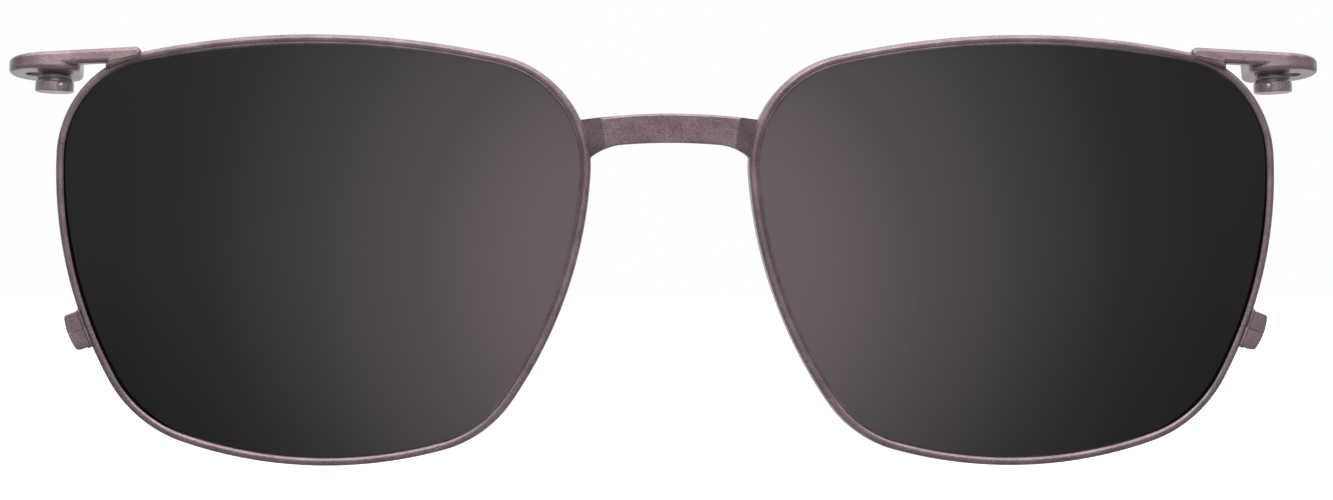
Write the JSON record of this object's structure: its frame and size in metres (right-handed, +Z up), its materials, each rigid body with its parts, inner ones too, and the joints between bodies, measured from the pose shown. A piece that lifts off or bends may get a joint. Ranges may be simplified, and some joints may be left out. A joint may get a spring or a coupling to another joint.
{
  "type": "magnetic clip on glasses",
  "caption": "Clip-on sunglass front: curved dark lenses in slim metal rims joined by an arched bridge, with a slotted magnet arm at each upper outer corner.",
  "frame": {"origin": "middle of the whole clip's box: halfway between the sides, halfway up and halfway back", "axes": "+X towards the wearer's left, along the clip; +Y rearwards, towards the wearer's face; +Z up. The front of the clip faces -Y."},
  "size_m": [0.1352, 0.014, 0.0442],
  "materials": {
    "frame_metal": "antique mauve-brown satin lacquer with a fine speckle",
    "carrier_metal": "antique mauve-brown satin lacquer, a little smoother than the frame",
    "lens_tint": "dark grey-brown polished lens, slightly lighter towards the nose",
    "magnet_nickel": "nickel plating",
    "screw_steel": "dark steel"
  },
  "bodies": {
    "frame": {"bridge": "frame_metal", "left_eyewire": "frame_metal", "left_lens": "lens_tint", "left_upper_closing_block": "frame_metal", "left_lower_closing_block": "frame_metal", "left_magnet_arm": "frame_metal", "right_eyewire": "frame_metal", "right_lens": "lens_tint", "right_upper_closing_block": "frame_metal", "right_lower_closing_block": "frame_metal", "right_magnet_arm": "frame_metal"},
    "left_magnet_slider": {"left_magnet_carrier": "carrier_metal", "left_carrier_washer": "carrier_metal", "left_magnet": "magnet_nickel", "left_magnet_pin": "carrier_metal"},
    "left_screw": {"left_closing_screw": "screw_steel"},
    "right_magnet_slider": {"right_magnet_carrier": "carrier_metal", "right_carrier_washer": "carrier_metal", "right_magnet": "magnet_nickel", "right_magnet_pin": "carrier_metal"},
    "right_screw": {"right_closing_screw": "screw_steel"}
  },
  "joints": [
    {"name": "left_magnet_slide", "type": "slide", "parent": "frame", "child": "left_magnet_slider", "axis": [0.9933, 0.1107, 0.0343], "range_m": [-0.0005, 0.002]},
    {"name": "left_closing_screw_turn", "type": "hinge", "parent": "frame", "child": "left_screw", "pos_m": [0.06064, -0.00031, -0.00831], "axis": [0.3572, 0.0375, 0.9333], "continuous": true},
    {"name": "right_magnet_slide", "type": "slide", "parent": "frame", "child": "right_magnet_slider", "axis": [-0.9933, 0.1107, 0.0343], "range_m": [-0.0005, 0.002]},
    {"name": "right_closing_screw_turn", "type": "hinge", "parent": "frame", "child": "right_screw", "pos_m": [-0.06064, -0.00031, -0.00831], "axis": [-0.3572, 0.0375, 0.9333], "continuous": true}
  ]
}
